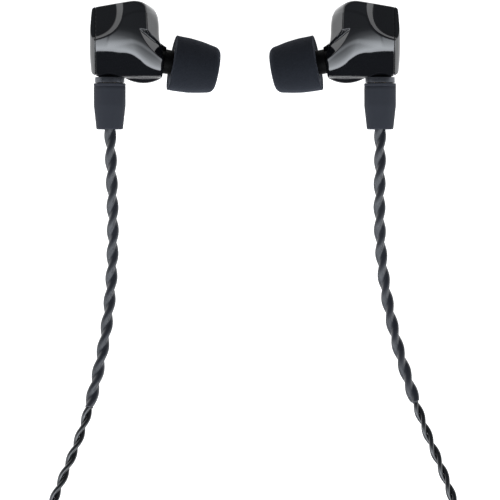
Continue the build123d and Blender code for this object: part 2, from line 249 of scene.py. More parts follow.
def sleeve_material():
    """Heat-shrink: satin, slightly uneven, its roughness varying in soft patches."""
    mat, nodes, links, shader = material("shrink_sleeve", (0.012, 0.0135, 0.018), 0.36, specular=0.4)
    skin = texture(nodes, links, "ShaderNodeTexNoise", 2600, Detail=4.0, Roughness=0.55)
    bump(nodes, links, shader, skin.outputs["Fac"], 0.000035, 0.5)
    patch = texture(nodes, links, "ShaderNodeTexNoise", 500, Detail=3.0)
    links.new(ramp(nodes, links, patch.outputs["Fac"], 0.30, 0.46, 0.3, 0.7), shader.inputs["Roughness"])
    return mat


def jacket_material():
    """The strands' black jacket."""
    mat, nodes, links, shader = material("cable_jacket", (0.0065, 0.007, 0.0085), 0.2, specular=0.55)
    skin = texture(nodes, links, "ShaderNodeTexNoise", 3500, Detail=3.0)
    bump(nodes, links, shader, skin.outputs["Fac"], 0.000012, 0.5)
    links.new(ramp(nodes, links, skin.outputs["Fac"], 0.15, 0.27, 0.3, 0.7), shader.inputs["Roughness"])
    return mat


def foam_material():
    """Slow-recovery foam: matte, with fine open cells and larger soft mottling. The cells' pits are painted
    darker, as painted shade.
    """
    mat, nodes, links, shader = material("memory_foam", (0.012, 0.014, 0.019), 0.88, sheen=0.1, ior=1.12)
    shader.inputs["Sheen Roughness"].default_value = 0.5
    shader.inputs["Sheen Tint"].default_value = (0.6, 0.65, 0.8, 1)
    cells = texture(nodes, links, "ShaderNodeTexVoronoi", 3600)
    mottle = texture(nodes, links, "ShaderNodeTexNoise", 700, Detail=5.0, Roughness=0.6)
    first = bump(nodes, links, shader, cells.outputs["Distance"], 0.00008, 0.55)
    bump(nodes, links, shader, mottle.outputs["Fac"], 0.0002, 0.4, before=first)
    # painted shade: the colour darkens towards each cell's middle, where the bump sinks it into a pit
    cell_pit_painted_shade = ramp(nodes, links, cells.outputs["Distance"], 0.0, 1.0, 0.0, 0.35)
    links.new(colour_mix(nodes, links, cell_pit_painted_shade, (0.0036, 0.0042, 0.0055), (0.0112, 0.0126, 0.0160)),
              shader.inputs["Base Color"])
    return mat


def metal_material(name, color, roughness):
    """Finely rubbed metal."""
    mat, nodes, links, shader = material(name, color, roughness, metallic=1.0)
    rub = texture(nodes, links, "ShaderNodeTexNoise", 2500, Detail=4.0)
    links.new(ramp(nodes, links, rub.outputs["Fac"], roughness * 0.7, roughness * 1.4, 0.3, 0.7),
              shader.inputs["Roughness"])
    bump(nodes, links, shader, rub.outputs["Fac"], 0.000004, 0.5)
    return mat


def plastic_material(name, color, roughness, scale=4000, depth=0.00001, specular=0.5):
    """Moulded plastic or rubber with a fine skin."""
    mat, nodes, links, shader = material(name, color, roughness, specular=specular)
    skin = texture(nodes, links, "ShaderNodeTexNoise", scale, Detail=3.0)
    links.new(ramp(nodes, links, skin.outputs["Fac"], roughness * 0.85, roughness * 1.2, 0.3, 0.7),
              shader.inputs["Roughness"])
    bump(nodes, links, shader, skin.outputs["Fac"], depth, 0.6)
    return mat


def tie_material():
    """Woven hook-and-loop tape, with painted shade in the low parts of its weave."""
    mat, nodes, links, shader = material("tie_fabric", (0.012, 0.012, 0.014), 0.9, sheen=0.4)
    weave = texture(nodes, links, "ShaderNodeTexWave", 2600, Distortion=1.5, Detail=2.0)
    bump(nodes, links, shader, weave.outputs["Fac"], 0.00012, 0.7)
    # painted shade: the weave is darker where the bump sinks it, between the threads
    links.new(colour_mix(nodes, links, weave.outputs["Fac"], (0.007, 0.007, 0.008), (0.022, 0.022, 0.026)),
              shader.inputs["Base Color"])
    return mat


MATS = {
    "gloss_shell": gloss_shell_material(),
    "soft_barrel": barrel_material(),
    "shrink_sleeve": sleeve_material(),
    "cable_jacket": jacket_material(),
    "memory_foam": foam_material(),
    "dark_chrome": metal_material("dark_chrome", (0.07, 0.073, 0.082), 0.36),
    "gold_contact": metal_material("gold_contact", (0.83, 0.62, 0.28), 0.16),
    "steel_mesh": metal_material("steel_mesh", (0.42, 0.42, 0.43), 0.3),
    "magnet_steel": metal_material("magnet_steel", (0.6, 0.6, 0.62), 0.3),
    "nozzle_plastic": plastic_material("nozzle_plastic", (0.0015, 0.0016, 0.0018), 0.55, specular=0.06),
    "tip_rubber": plastic_material("tip_rubber", (0.02, 0.02, 0.024), 0.6),
    "slider_rubber": plastic_material("slider_rubber", (0.018, 0.019, 0.022), 0.5, 3000, 0.00002),
    "inner_plastic": plastic_material("inner_plastic", (0.55, 0.55, 0.53), 0.45),
    "diaphragm_film": plastic_material("diaphragm_film", (0.6, 0.55, 0.4), 0.25),
    "clear_tube": plastic_material("clear_tube", (0.65, 0.67, 0.7), 0.2),
    "board_green": plastic_material("board_green", (0.015, 0.09, 0.035), 0.35),
    "inner_wire": plastic_material("inner_wire", (0.35, 0.03, 0.025), 0.35),
    "insulator_band": plastic_material("insulator_band", (0.012, 0.012, 0.012), 0.4),
    "tie_fabric": tie_material(),
}
for part in frame["record"]["subparts"]:
    cad = frame["nodes"][part["node"]]
    for place in cad.material_slots:
        place.material = MATS[part["material_slot"]]

# =====================================================================
# Cords
# =====================================================================
LEG_D, STRAND_D = 2.2, 1.1
MAIN_D, CORE_D, MAIN_CORES = 2.6, 1.08, 4
MAIN_PITCH = 14.0                       # length of one full twist
LEG_SPACING, MAIN_SPACING = 0.34, 0.62  # between the rings of points along a cord
SLEEVE_WIDE, SLEEVE_THIN = 2.8, 1.75

leg_routes = {
    LEFT: [
        (-30.5, -12.0, 6.0), (-30.2, -22.0, 5.9), (-29.8, -34.0, 4.1), (-30.0, -46.0, 2.1),
        (-31.1, -58.5, 1.5), (-33.5, -71.0, 1.4), (-36.9, -83.0, 1.4), (-41.8, -94.5, 1.1),
        (-46.8, -107.0, 1.1), (-48.8, -121.0, 1.1), (-47.7, -138.0, 1.1), (-48.7, -156.0, 1.1),
        (-48.5, -173.0, 1.1), (-47.2, -187.5, 1.1), (-42.4, -196.2, 1.1), (-33.6, -199.4, 1.1),
        (-25.0, -196.8, 1.1), (-19.7, -188.5, 2.1), (-19.8, -171.5, 2.1), (-19.7, -146.0, 2.1),
        (-19.5, -129.0, 3.3),
    ],
    RIGHT: [
        (30.5, -12.0, 6.0), (30.5, -22.0, 5.9), (30.3, -34.0, 4.1), (31.0, -46.0, 2.1),
        (33.2, -58.5, 1.5), (36.6, -70.5, 1.4), (40.9, -82.5, 1.4), (46.0, -94.5, 1.1),
        (49.9, -107.0, 1.1), (50.6, -121.5, 1.1), (48.2, -137.0, 1.1), (43.5, -152.5, 1.1),
        (36.0, -168.0, 1.1), (25.5, -181.0, 1.1), (13.0, -190.8, 1.1), (1.5, -197.6, 1.1),
        (-7.6, -199.2, 1.1), (-13.9, -195.4, 1.1), (-16.3, -188.0, 2.1), (-16.2, -171.5, 2.1),
        (-16.3, -146.0, 2.1), (-16.5, -129.0, 3.3),
    ],
}
lead_route = [
    (-18.0, -117.0, 3.3), (-17.8, -111.0, 2.6), (-14.6, -106.0, 1.9),
    (-8.5, -103.6, 1.85), (-0.5, -103.7, 1.85),
]
tail_route = [(15.5, -105.0, 6.6), (21.0, -105.8, 4.4), (26.5, -106.2, 3.6)]

coil_low, coil_high = (np.array(c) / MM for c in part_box("main_cable_coil"))
COIL_X, COIL_Y = (coil_low[:2] + coil_high[:2]) / 2
COIL_OUTER = (coil_high[0] - coil_low[0]) / 2
COIL_LAYERS, COIL_COLUMNS, TURN_GAP = 3, 3, 2.7
POINTS_A_TURN = 16
STEP_OVER, STEP_UP = 0.2, 0.25          # shares of a turn


def coil_points():
    """Three layers of three turns, clockwise from the top: in, out and in again."""
    outer = COIL_OUTER - MAIN_D / 2
    points = []
    total = COIL_LAYERS * COIL_COLUMNS * POINTS_A_TURN
    for n in range(total + 1):
        turn = n / POINTS_A_TURN
        layer = min(int(turn // COIL_COLUMNS), COIL_LAYERS - 1)
        within = turn - layer * COIL_COLUMNS
        # each turn keeps its radius and steps over during its last fifth
        step = math.floor(within) + max(0.0, (within % 1 - 1 + STEP_OVER) / STEP_OVER)
        column = min(step, COIL_COLUMNS - 1)
        if layer % 2:
            column = COIL_COLUMNS - 1 - column
        rise = layer + max(0.0, (within - COIL_COLUMNS + STEP_UP) / STEP_UP) * (layer < COIL_LAYERS - 1)
        radius = (outer - column * TURN_GAP) / math.cos(math.pi / POINTS_A_TURN)
        angle = math.pi / 2 - 2 * math.pi * (turn + 0.5 / POINTS_A_TURN)
        points.append((
            COIL_X + radius * math.cos(angle),
            COIL_Y + radius * math.sin(angle),
            coil_low[2] + MAIN_D / 2 + rise * TURN_GAP,
        ))
    return points


def spline_line(name, points, spacing):
    """Evenly spaced points along the smooth NURBS line through a route's control points, in mm."""
    curve = bpy.data.curves.new(name, "CURVE")
    curve.dimensions = "3D"
    curve.resolution_u = 16
    spline = curve.splines.new("NURBS")
    spline.points.add(len(points) - 1)
    for point, place in zip(spline.points, points):
        point.co = (*(c * MM for c in place), 1)
    spline.order_u = 3
    spline.use_endpoint_u = True
    holder = bpy.data.objects.new(name, curve)
    mesh = bpy.data.meshes.new_from_object(holder)
    line = np.array([v.co for v in mesh.vertices]) / MM
    bpy.data.objects.remove(holder)
    bpy.data.meshes.remove(mesh)
    keep = np.r_[True, np.linalg.norm(np.diff(line, axis=0), axis=1) > 1e-5]
    line = line[keep]
    along = np.r_[0, np.cumsum(np.linalg.norm(np.diff(line, axis=0), axis=1))]
    even = np.linspace(0, along[-1], int(along[-1] / spacing) + 1)
    return np.stack([np.interp(even, along, line[:, c]) for c in range(3)], 1), even


def carried_frames(line):
    """Unit tangents and two vectors across them, carried along without twist."""
    tangents = np.gradient(line, axis=0)
    tangents /= np.linalg.norm(tangents, axis=1)[:, None]
    side = np.cross(tangents[0], (0, 0, 1.0))
    side /= np.linalg.norm(side)
    sides = [side]
    for t in tangents[1:]:
        side = side - t * (side @ t)
        side = side / np.linalg.norm(side)
        sides.append(side)
    sides = np.array(sides)
    return tangents, sides, np.cross(tangents, sides)


def tube(line, radius, around):
    """A round tube on a line; radius is one number or one a point."""
    _, a, b = carried_frames(line)
    t = np.linspace(0, 2 * math.pi, around, endpoint=False)
    r = (np.ones(len(line)) * radius)[:, None, None]
    ring = np.cos(t)[None, :, None] * a[:, None] + np.sin(t)[None, :, None] * b[:, None]
    return (line[:, None] + ring * r).reshape(-1, 3)


def strands(line, phases, count, strand_d, orbit, around):
    """Strands twisted round a line by the phase given at each point."""
    _, a, b = carried_frames(line)
    verts, faces = [], []
    for n in range(count):
        angle = phases + 2 * math.pi * n / count
        centre = line + orbit * (np.cos(angle)[:, None] * a + np.sin(angle)[:, None] * b)
        faces += grid_faces(len(line), around, True, start=len(verts) * len(line) * around)
        verts.append(tube(centre, strand_d / 2, around))
    return np.concatenate(verts), faces


SLEEVE_HALF_TURN, BARE_HALF_TURN = 5.37, 4.9
SLEEVE_PHASE_Y = -16.0      # where the two strands first lie side by side
SLEEVE_END_Y = {LEFT: -77.5, RIGHT: -76.2}
SLEEVE_START = 0.6          # from the leg's start
SLEEVE_FILL = 0.55          # how far the waist between the two lobes is bridged


def leg_phases(line, along, side):
    """Twist angle along a leg: a slower twist under the sleeve than on the bare pair."""
    # this far down, the leg only runs towards -Y
    down = slice(0, int(100 / LEG_SPACING))
    end = np.interp(-SLEEVE_END_Y[side], -line[down, 1], along[down])
    start = np.interp(-SLEEVE_PHASE_Y, -line[down, 1], along[down])
    under = (np.minimum(along, end) - start) / SLEEVE_HALF_TURN
    bare = np.maximum(along - end, 0) / BARE_HALF_TURN
    return math.pi * (under + bare), end


def sleeve_outline(t):
    """Radius of two circles side by side, the waist between them partly bridged."""
    lobe = SLEEVE_THIN / 2
    reach = SLEEVE_WIDE / 2 - lobe
    c, s = np.abs(np.cos(t)), np.maximum(np.abs(np.sin(t)), 1e-6)
    circles = reach * c + np.sqrt(np.maximum(lobe**2 - (reach * s) ** 2, 0))
    stadium = np.where(lobe * c / s < reach, lobe / s, circles)
    return SLEEVE_FILL * stadium + (1 - SLEEVE_FILL) * circles


def sleeve_mesh(line, along, phases, end):
    """Heat-shrink drawn down over the twisted pair: its two lobes follow the twist, its cut end is uneven."""
    around = 40
    first, last = np.searchsorted(along, (SLEEVE_START, end))
    part = line[first:last]
    _, a, b = carried_frames(line)
    a, b, phase = a[first:last], b[first:last], phases[first:last]
    t = np.linspace(0, 2 * math.pi, around, endpoint=False)
    angle = t[None, :] + phase[:, None]
    ring = np.cos(angle)[..., None] * a[:, None] + np.sin(angle)[..., None] * b[:, None]
    n = np.arange(len(part))[:, None]
    ripple = 0.012 * np.sin(n * 0.31 + 3 * t) * np.sin(n * 0.07)
    radius = sleeve_outline(t)[None, :] + ripple
    verts = part[:, None] + ring * radius[..., None]
    # the cut end: a slightly ragged lip, then back in to the strands
    ragged = 0.16 * np.sin(2 * t + 0.6) + 0.09 * np.sin(5 * t) + 0.05 * np.sin(9 * t + 1)
    tangent = line[last] - line[last - 1]
    tangent = tangent / np.linalg.norm(tangent)
    verts[-1] += ragged[:, None] * tangent
    verts[-2] += 0.6 * ragged[:, None] * tangent
    inner = part[-1] + (verts[-1] - part[-1]) * 0.83
    deep = inner - tangent * 0.8
    verts = np.concatenate([verts.reshape(-1, 3), inner, deep])
    return verts, grid_faces(len(part) + 2, around)


legs = {}
for side in SIDES:
    line, along = spline_line(side + "_leg_line", leg_routes[side], LEG_SPACING)
    phases, sleeve_end = leg_phases(line, along, side)
    if side == LEFT:
        phases = phases + math.pi
    verts, faces = strands(line, phases, 2, STRAND_D, (LEG_D - STRAND_D) / 2, 14)
    pair = new_object(side + "_twisted_pair", verts, faces, [MATS["cable_jacket"]])
    attach(pair, "cable", "cable_jacket", side + "_leg_cable")
    verts, faces = sleeve_mesh(line, along, phases, sleeve_end)
    sleeve = new_object(side + "_heat_shrink", verts, faces, [MATS["shrink_sleeve"]])
    attach(sleeve, "cable", "shrink_sleeve", side + "_ear_sleeve")
    legs[side] = (pair, sleeve, line, along)

main_line, main_along = spline_line("main_line", lead_route + coil_points() + tail_route, MAIN_SPACING)
main_phases = 2 * math.pi * main_along / MAIN_PITCH
verts, faces = strands(main_line, main_phases, MAIN_CORES, CORE_D, (MAIN_D - CORE_D) / 2, 8)
main_cable = new_object("main_cable", verts, faces, [MATS["cable_jacket"]])
attach(main_cable, "cable", "cable_jacket", "main_cable_lead", "main_cable_coil", "main_cable_tail")

# =====================================================================
# Earpiece housings: one smooth field, meshed, then parted at the faceplate's seam
# =====================================================================
NOZZLE_ROOT = np.array([-17.3, 0.7, 6.35])
NOZZLE_TURN, NOZZLE_DOWN = math.radians(10), math.radians(7)
NOZZLE_AXIS = np.array([
    math.cos(NOZZLE_TURN) * math.cos(NOZZLE_DOWN),
    -math.sin(NOZZLE_TURN) * math.cos(NOZZLE_DOWN),
    -math.sin(NOZZLE_DOWN),
])
NECK_END = -0.9
PLUG_X, PLUG_Z = -30.5, 6.0
SEAM_X, SEAM_GAP = -33.6, 0.045
VOXEL = 0.14


def smooth_max(a, b, k):
    """The larger of two fields, with the edge between them rounded over a width k."""
    h = np.clip(0.5 + 0.5 * (a - b) / k, 0, 1)
    return b + (a - b) * h + k * h * (1 - h)


def smooth_min(a, b, k):
    return -smooth_max(-a, -b, k)


def plane(p, normal, through):
    """Distance in front of a plane, along its normal."""
    n = np.array(normal, float)
    n /= np.linalg.norm(n)
    return (p - np.array(through, float)) @ n


def ball(p, centre, radius):
    return np.linalg.norm(p - np.array(centre, float), axis=-1) - radius


def cone(p, origin, axis, r0, r1, length):
    """Distance from the side of a taper, r0 at its origin and r1 at its length, and the place along it."""
    q = p - np.asarray(origin, float)
    axis = np.asarray(axis, float)
    along = q @ axis
    across = np.linalg.norm(q - along[..., None] * axis, axis=-1)
    slope = (r1 - r0) / length
    side = (across - (r0 + slope * along)) / math.sqrt(1 + slope * slope)
    return side, along


# The front surface is a height over the plan. It falls away from a curved line that
# runs level past the connector and then down to the nozzle.
TOP_Z = 14.05
LINE_HIGH, LINE_DROP, LINE_MIDDLE, LINE_SPREAD = 3.35, 5.7, -22.7, 1.9
FLAT_TILT, STEEP_TILT = math.radians(4), math.radians(33)
FLAT_FROM, STEEP_FROM = 5.4, -1.2           # distances from the line, towards +Y
TABLE_STEP = 0.01
reach_table = np.arange(-25, 25, TABLE_STEP)
tilt_table = FLAT_TILT + (STEEP_TILT - FLAT_TILT) * np.clip(
    (FLAT_FROM - reach_table) / (FLAT_FROM - STEEP_FROM), 0, 1)
fall_table = np.cumsum(np.tan(tilt_table)[::-1])[::-1] * TABLE_STEP
fall_table -= np.interp(FLAT_FROM + 6.0, reach_table, fall_table)
# below the line the fall steepens further, beyond EXTRA_X; its slope stops growing after EXTRA_REACH
EXTRA_FALL, EXTRA_BELOW, EXTRA_REACH = 0.11, 1.2, 2.5
EXTRA_X, EXTRA_WIDTH = -28.5, 4.5
SHOULDER_X, NECK_TILT_X, NECK_TILT = -26.0, -22.5, math.tan(math.radians(29))
DOME_X, DOME_R = -28.5, 75.0            # the front curves away beyond this X

# a curved step beside the nozzle: an arc, and the line that the step's foot follows
STEP_X, STEP_Y, STEP_R = -11.1, 12.3, 13.3
WALL_SLOPE, BACK_SLOPE = 1.15, 1.95
FOOT_X, FOOT_Y, FOOT_FALL = -23.97, 8.23, 0.82


def smooth_step(t):
    """From 0 to 1 as t does, level at both ends."""
    t = np.clip(t, 0, 1)
    return t * t * (3 - 2 * t)


def front_height(x, y):
    """Height of the front surface over the plan, and how much its slope stretches distances."""
    share = 1 / (1 + np.exp((x - LINE_MIDDLE) / LINE_SPREAD))
    line_y = LINE_HIGH - LINE_DROP * (1 - share)
    line_slope = LINE_DROP * share * (1 - share) / LINE_SPREAD
    reach = (y - line_y) / np.sqrt(1 + line_slope**2)
    fall = np.interp(reach, reach_table, fall_table)
    steep = np.interp(reach, reach_table, np.tan(tilt_table))
    below = np.maximum(EXTRA_BELOW - reach, 0)
    near = np.minimum(below, EXTRA_REACH)
    fall = fall + EXTRA_FALL * smooth_step((x - EXTRA_X) / EXTRA_WIDTH) * near * (below - near / 2)
    # and it falls to the nozzle
    width = NECK_TILT_X - SHOULDER_X
    over = np.clip(x - SHOULDER_X, 0, width)
    to_nozzle = NECK_TILT * (over**2 / (2 * width) + np.maximum(x - NECK_TILT_X, 0))
    tilt_x = NECK_TILT * over / width
    dome = np.minimum(x - DOME_X, 0) ** 2 / (2 * DOME_R)
    height = TOP_Z - fall - to_nozzle - dome
    # the step: down from its arc to its straight foot, then up again
    past = np.maximum(STEP_R - np.hypot(x - STEP_X, y - STEP_Y), 0)
    beyond = (y - FOOT_Y + FOOT_FALL * (x - FOOT_X)) / math.hypot(1, FOOT_FALL)
    step = np.maximum(WALL_SLOPE * past - BACK_SLOPE * smooth_max(beyond, 0, 0.1), 0)
    return height - step, np.sqrt(1 + steep**2 + tilt_x**2)


# Faces round the body, each a normal, a point on it and the width of its blend into the rest
MID_Z = 7.3
TOP_FACES = [
    ((0, 1, 0), (-26, 14.48, MID_Z), 0.5),
    ((-0.172, 0.985, 0.05), (-28.6, 13.95, MID_Z), 0.5),
    ((0.43, 0.90, 0.04), (-22.7, 14.1, MID_Z), 0.9),
    ((0.84, 0.5, 0.10), (-19.9, 12.0, MID_Z), 1.4),
]
FACET_X, FACET_Z, FACET_TURN_Y, FACET_WIDEN = -21.2, 11.1, 7.5, 0.16
BACK_X, BACK_Y, BACK_Z, BACK_R = -26.0, 5.5, 0.25, 60.0
INNER_X, INNER_STEP, INNER_STEP_Y, INNER_STEP_WIDTH = -18.95, 0.7, 5.6, 2.5
WALL_Y, WALL_CORNER_SLOPE, WALL_CORNER_X, WALL_CORNER_Y = -2.9, 0.55, -27.6, -5.8
BELLY_X, BELLY_Y, BELLY_R = -22.9, 3.9, 8.0
BOSS_Y, BOSS_R, BOSS_WIDEN, BOSS_LENGTH = -2.85, 2.42, 0.06, 6.0
NECK_R, NECK_SLOPE, NECK_CURVE, NECK_LENGTH, NECK_UNDER = 3.2, 0.33, 0.08, 6.5, 1.2
RIM_X, RIM_LEAN, RIM_LEAN_Y, RIM_LEAN_LENGTH, RIM_SLOPE = -33.7, 0.9, 6.0, 5.0, 1.5
PLATE_CENTRE, PLATE_R = (28.0, 4.6, MID_Z), 63.0
SCOOP_R, SCOOP_LEAN = 9.6, math.radians(45)
SCOOP_OUT = np.array([0.815, -0.58])        # the way that the scoop's axis leans, in plan
SCOOP_CENTRE = np.array([-39.6175, 15.6225, 13.9])
SCOOP_FLOOR = (0.16, -0.14, -0.977), (-30.6, 10.4, 11.9)


def facet_field(p):
    """The light facet down the inner side, which widens below its turn."""
    x, y, z = p[..., 0], p[..., 1], p[..., 2]
    widened = FACET_WIDEN * np.maximum(FACET_TURN_Y - y, 0) ** 1.5
    return 0.87 * (x - FACET_X) + 0.49 * (z - FACET_Z) - widened


def body_above(p, front):
    """The body's front, back, top and inner faces, without its underside."""
    x, y, z = p[..., 0], p[..., 1], p[..., 2]
    body = smooth_max(front, ball(p, (BACK_X, BACK_Y, BACK_Z + BACK_R), BACK_R), 2.2)
    for normal, through, blend in TOP_FACES:
        body = smooth_max(body, plane(p, normal, through), blend)
    inner_wall = x - INNER_X - INNER_STEP * smooth_step((INNER_STEP_Y - y) / INNER_STEP_WIDTH)
    body = smooth_max(body, inner_wall, 0.35)
    return smooth_max(body, 0.94 * inner_wall - 0.34 * (z - MID_Z), 1.5)


def with_underside(body, p, wall_y):
    """The underside: a wall that leans in, and a lens-shaped belly standing out behind it."""
    lower = smooth_max(body, wall_y * 0.93 + (p[..., 2] - 7.5) * 0.05, 0.5)
    across = np.hypot(p[..., 0] - BELLY_X, p[..., 1] - BELLY_Y) - BELLY_R
    belly = smooth_max(body, across, 0.35)
    belly = smooth_max(belly, plane(p, (0, -0.60, 0.80), (-23, -2.75, 7.2)), 0.3)
    belly = smooth_max(belly, plane(p, (0, -0.5, -0.86), (-23, -3.4, 3.2)), 1.6)
    body = smooth_min(lower, belly, 0.25)
    return smooth_max(body, plane(p, (-0.2, -0.80, -0.5), (-31, -2.1, 2.1)), 2.2)


def boss_field(p):
    """The boss round the connector."""
    side, along = cone(p, (PLUG_X, BOSS_Y, PLUG_Z), (0, 1, 0), BOSS_R, BOSS_R + BOSS_WIDEN, BOSS_LENGTH)
    return smooth_max(smooth_max(side, -along, 0.3), along - BOSS_LENGTH, 2.0)


def neck_field(p, under_front, wall_y):
    """The neck that carries the nozzle: a trumpet that flares back into the body, kept inside its faces."""
    q = p - NOZZLE_ROOT
    along = q @ NOZZLE_AXIS
    across = np.linalg.norm(q - along[..., None] * NOZZLE_AXIS, axis=-1)
    back = np.maximum(NECK_END - along, 0)
    flare = NECK_R + NECK_SLOPE * back + NECK_CURVE * back**2
    neck = (across - flare) / np.sqrt(1 + (NECK_SLOPE + 2 * NECK_CURVE * back) ** 2)
    neck = smooth_max(smooth_max(neck, along - NECK_END, 0.2), -along - NECK_LENGTH, 3.0)
    neck = smooth_max(neck, under_front, 0.5)
    return smooth_max(neck, wall_y, 0.5)


def scoop_field(p):
    """The terrace in the top outer corner: a leaning round cut with a flat floor."""
    q = p - SCOOP_CENTRE
    axis = np.array([*(SCOOP_OUT * math.sin(SCOOP_LEAN)), math.cos(SCOOP_LEAN)])
    along = q @ axis
    scoop = np.linalg.norm(q - along[..., None] * axis, axis=-1) - SCOOP_R
    return smooth_max(scoop, plane(p, *SCOOP_FLOOR), 0.35)


def housing_field(p):
    """Below zero inside the left housing. p is in millimetres."""
    x, y, z = p[..., 0], p[..., 1], p[..., 2]
    height, stretch = front_height(x, y)
    front = smooth_max((z - height) / stretch, facet_field(p), 0.25)
    corner_y = WALL_CORNER_Y - WALL_CORNER_SLOPE * (x - WALL_CORNER_X)
    wall_y = smooth_max(WALL_Y - y, corner_y - y, 0.9)
    body = with_underside(body_above(p, front), p, wall_y)
    body = smooth_min(body, boss_field(p), 0.2)
    body = smooth_min(body, neck_field(p, (z - height + NECK_UNDER) / stretch, wall_y), 0.35)
    # the outer plate: its chamfered rim, and its face over everything
    rim_x = RIM_X - np.clip((y - RIM_LEAN_Y) / RIM_LEAN_LENGTH, 0, 1) * RIM_LEAN
    rim = (front * stretch + RIM_SLOPE * (rim_x - x)) / np.hypot(stretch, RIM_SLOPE)
    body = smooth_max(body, rim, 0.22)
    body = smooth_max(body, ball(p, PLATE_CENTRE, PLATE_R), 0.6)
    return smooth_max(body, -scoop_field(p), 0.22)


def surface_net(field, low, high, step):
    """Quads where the field changes sign, one point for each cell that it crosses."""
    axes = [np.arange(a, b + step, step) for a, b in zip(low, high)]
    grid = np.stack(np.meshgrid(*axes, indexing="ij"), -1)
    values = np.stack([field(slab) for slab in grid])
    inside = values < 0
    corners = [inside[i: i - 1 or None, j: j - 1 or None, k: k - 1 or None]
               for i in (0, 1) for j in (0, 1) for k in (0, 1)]
    count = sum(c.astype(int) for c in corners)
    active = (count > 0) & (count < 8)
    index = -np.ones(active.shape, int)
    index[active] = np.arange(active.sum())
    cells = np.argwhere(active)
    # a cell's point is the mean of the places where its edges cross zero
    total, hits = np.zeros((len(cells), 3)), np.zeros(len(cells))
    for axis in range(3):
        others = [a for a in range(3) if a != axis]
        for u in (0, 1):
            for v in (0, 1):
                start = cells.copy()
                start[:, others[0]] += u
                start[:, others[1]] += v
                end = start.copy()
                end[:, axis] += 1
                a, b = values[tuple(start.T)], values[tuple(end.T)]
                crossing = (a < 0) != (b < 0)
                share = np.where(crossing, a / np.where(a == b, 1, a - b), 0)
                place = start.astype(float)
                place[:, axis] += share
                total += place * crossing[:, None]
                hits += crossing
    verts = np.array(low) + total / hits[:, None] * step
    faces = []
    for axis in range(3):
        u, v = [(1, 2), (2, 0), (0, 1)][axis]
        a = np.take(inside, range(inside.shape[axis] - 1), axis)
        b = np.take(inside, range(1, inside.shape[axis]), axis)
        place = np.argwhere(a != b)
        place = place[(place[:, u] > 0) & (place[:, v] > 0)]
        flip = a[tuple(place.T)]
        quad = []
        for du, dv in ((1, 1), (0, 1), (0, 0), (1, 0)):
            cell = place.copy()
            cell[:, u] -= du
            cell[:, v] -= dv
            quad.append(index[tuple(cell.T)])
        quad = np.stack(quad, 1)
        quad = np.where(flip[:, None], quad, quad[:, ::-1])
        faces.append(quad)
    return verts, np.concatenate(faces)


def settle(verts, field, rounds=3):
    """Moves points onto the field's zero surface."""
    e = 0.02
    for _ in range(rounds):
        value = field(verts)
        slope = np.stack([(field(verts + np.eye(3)[a] * e) - field(verts - np.eye(3)[a] * e)) / (2 * e)
                          for a in range(3)], -1)
        size = np.maximum((slope**2).sum(-1), 0.2)
        move = slope * (value / size)[:, None]
        verts = verts - np.clip(move, -VOXEL, VOXEL)
    return verts


TONGUE, TONGUE_INSET, TONGUE_ROOT = 0.5, 0.3, 1.0
TONGUE_GAP, TONGUE_END_GAP = 0.06, 0.08
BORE_R, BORE_DEPTH = 2.42, 4.2          # in the neck, for the nozzle
SOCKET_R, SOCKET_END_Y = 2.25, 1.0      # in the boss, for the socket
EDGE_BLEND = 0.12
FIELD_LOW, FIELD_HIGH, PLATE_FIELD_X = (-35.8, -4.8, -0.6), (-16.6, 15.2, 15.2), -32.6


def housing_parts():
    """The shell and the outer plate, each closed. The shell's tongue fills the joint behind the fine seam."""
    def shell_field(p):
        whole = housing_field(p)
        x, y, z = p[..., 0], p[..., 1], p[..., 2]
        q = p - NOZZLE_ROOT
        along = q @ NOZZLE_AXIS
        bore = np.linalg.norm(q - along[..., None] * NOZZLE_AXIS, axis=-1) - BORE_R
        socket = np.hypot(x - PLUG_X, z - PLUG_Z) - SOCKET_R
        body = smooth_max(whole, SEAM_X + SEAM_GAP - x, EDGE_BLEND)
        tongue = np.maximum(whole + TONGUE_INSET, SEAM_X - TONGUE - x)
        body = np.minimum(body, np.maximum(tongue, x - SEAM_X - TONGUE_ROOT))
        body = smooth_max(body, -np.maximum(bore, -BORE_DEPTH - along), EDGE_BLEND)
        return smooth_max(body, -np.maximum(socket, y - SOCKET_END_Y), EDGE_BLEND)

    def plate_field(p):
        whole = housing_field(p)
        x = p[..., 0]
        plate = smooth_max(whole, x - SEAM_X + SEAM_GAP, EDGE_BLEND)
        inset, end = TONGUE_INSET - TONGUE_GAP, TONGUE + TONGUE_END_GAP
        return np.maximum(plate, -np.maximum(whole + inset, SEAM_X - end - x))

    parts = []
    for field, high_x in ((shell_field, FIELD_HIGH[0]), (plate_field, PLATE_FIELD_X)):
        verts, faces = surface_net(field, FIELD_LOW, (high_x, *FIELD_HIGH[1:]), VOXEL)
        parts.append((settle(verts, field), faces.tolist()))
    return parts


(shell_verts, shell_faces), (plate_verts, plate_faces) = housing_parts()
for side in SIDES:
    put(side + "_housing", side, shell_verts, shell_faces, "gloss_shell", side + "_earpiece", side + "_shell")
    put(side + "_outer_plate", side, plate_verts, plate_faces, "gloss_shell", side + "_earpiece",
        side + "_faceplate")

# =====================================================================
# Turned pieces: ear tips, nozzle rings, collars and barrels
# =====================================================================
def closed_lathe(profile, origin, axis, around=96, wobble=None):
    """A ring-shaped solid: its profile's last point joins its first."""
    verts, faces = lathe(profile, origin, axis, around, wobble)
    last = len(profile) - 1
    for j in range(around):
        k = (j + 1) % around
        faces.append([last * around + j, last * around + k, k, j])
    return verts, faces


def divided(profile, longest):
    """The profile with its long runs cut into shorter ones."""
    out = []
    for a, b in zip(profile, profile[1:]):
        n = max(1, math.ceil(math.dist(a, b) / longest))
        out += [(a[0] + (b[0] - a[0]) * i / n, a[1] + (b[1] - a[1]) * i / n) for i in range(n)]
    return out + [profile[-1]]


def foam_wobble(along, turn):
    """The slight unevenness of moulded foam."""
    broad = 0.035 * np.sin(2 * turn + 0.5 * along)
    return broad + 0.02 * np.sin(5 * turn - 0.9 * along + 1) * math.sin(along)


